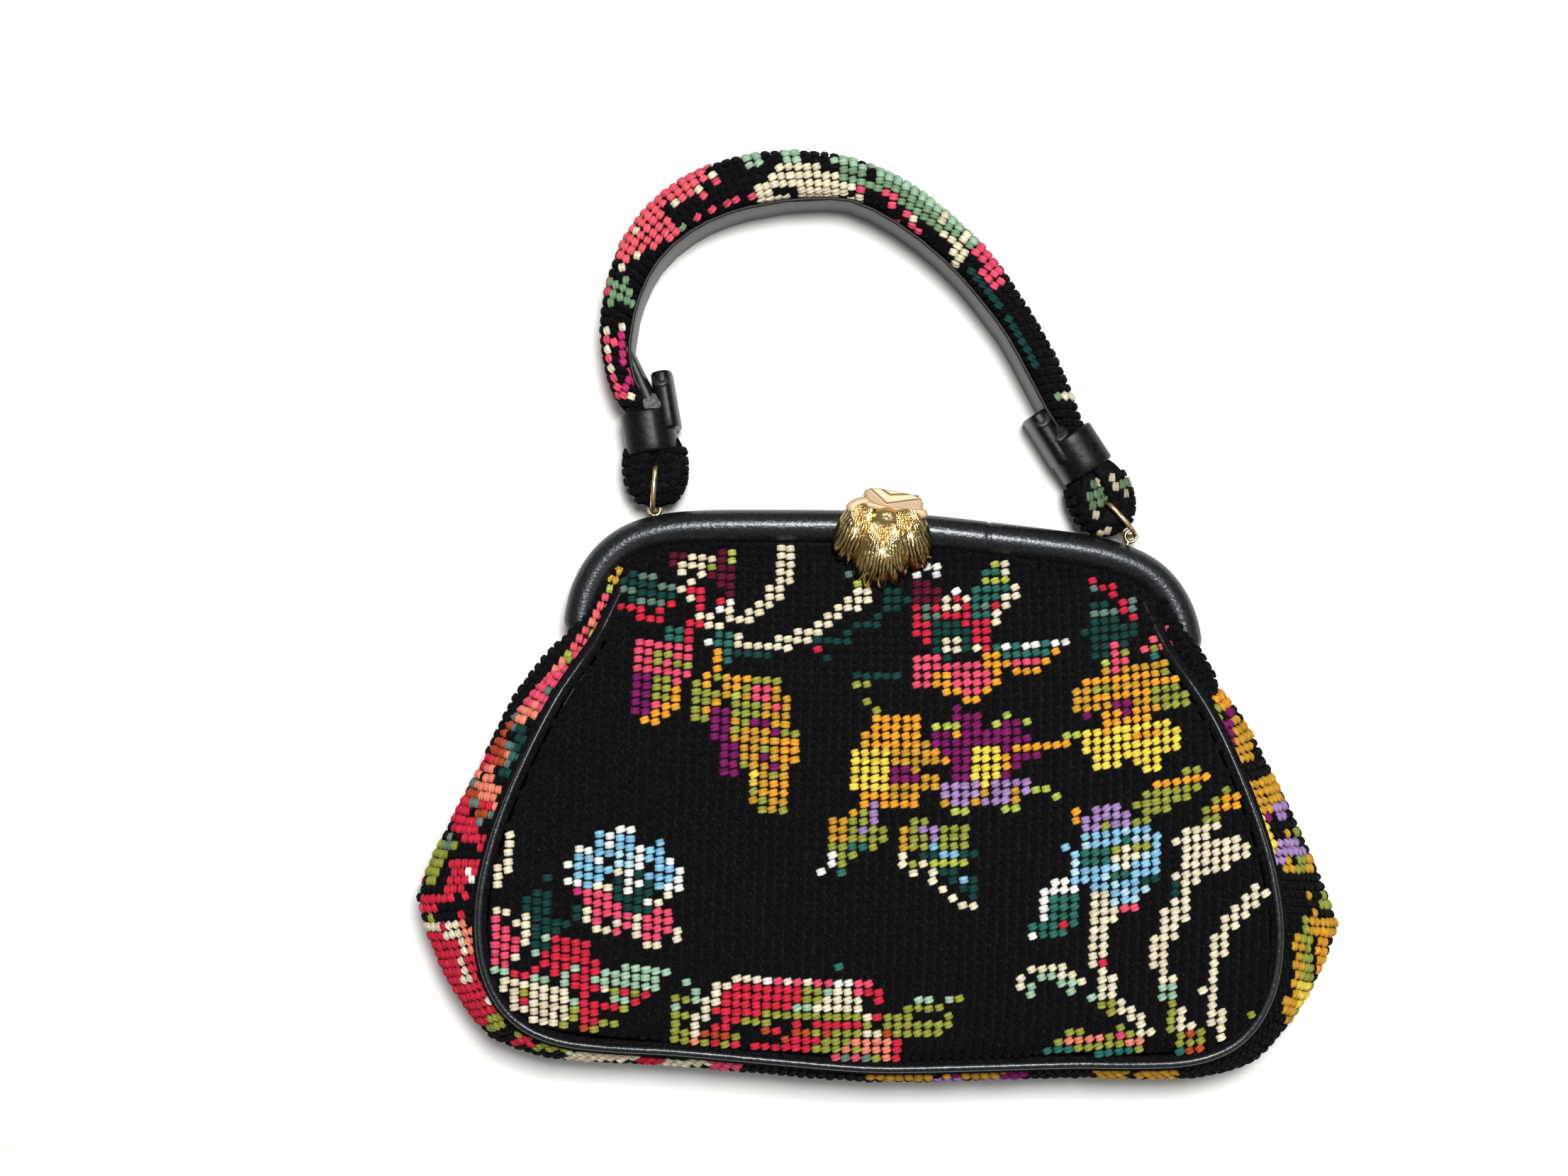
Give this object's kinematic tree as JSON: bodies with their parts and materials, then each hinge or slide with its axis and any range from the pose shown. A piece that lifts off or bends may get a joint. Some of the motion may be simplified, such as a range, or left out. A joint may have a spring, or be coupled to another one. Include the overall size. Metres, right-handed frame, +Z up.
{
  "type": "needlepoint framed handbag",
  "caption": "Floral wool needlepoint handbag on a leather covered arched frame, with a gold lift clasp and a padded top handle, lying on its back.",
  "frame": {"origin": "on the back panel's flat rest face, in the middle of the body", "axes": "+Z up, out of the front panel; +Y towards the handle; +X to the right as the bag is seen from the front"},
  "size_m": [0.2872, 0.2906, 0.0469],
  "materials": {
    "wool": "looped wool needlepoint, floral on black",
    "leather": "fine grained, glossy black",
    "gold": "polished cast gold tone, dark antique grooves",
    "brass": "worn brass wire"
  },
  "bodies": {
    "bag": {"front_panel": "wool", "back_panel": "wool", "gusset": "wool", "front_piping": "leather", "back_piping": "leather", "frame_front": "leather", "frame_back": "leather", "hinge_left": "brass", "hinge_right": "brass", "clasp_hinge": "brass", "eyelet_left": "brass", "eyelet_right": "brass", "ring_left": "brass", "ring_right": "brass", "handle_strap": "wool", "handle_lining": "leather", "keeper_left": "leather", "keeper_right": "leather"},
    "clasp": {"clasp": "gold"}
  },
  "joints": [
    {"name": "clasp_lift", "type": "hinge", "parent": "bag", "child": "clasp", "pos_m": [0.00097, 0.09259, 0.0053], "axis": [-0.9996, 0.0297, 0], "range_deg": [0, 60]}
  ]
}
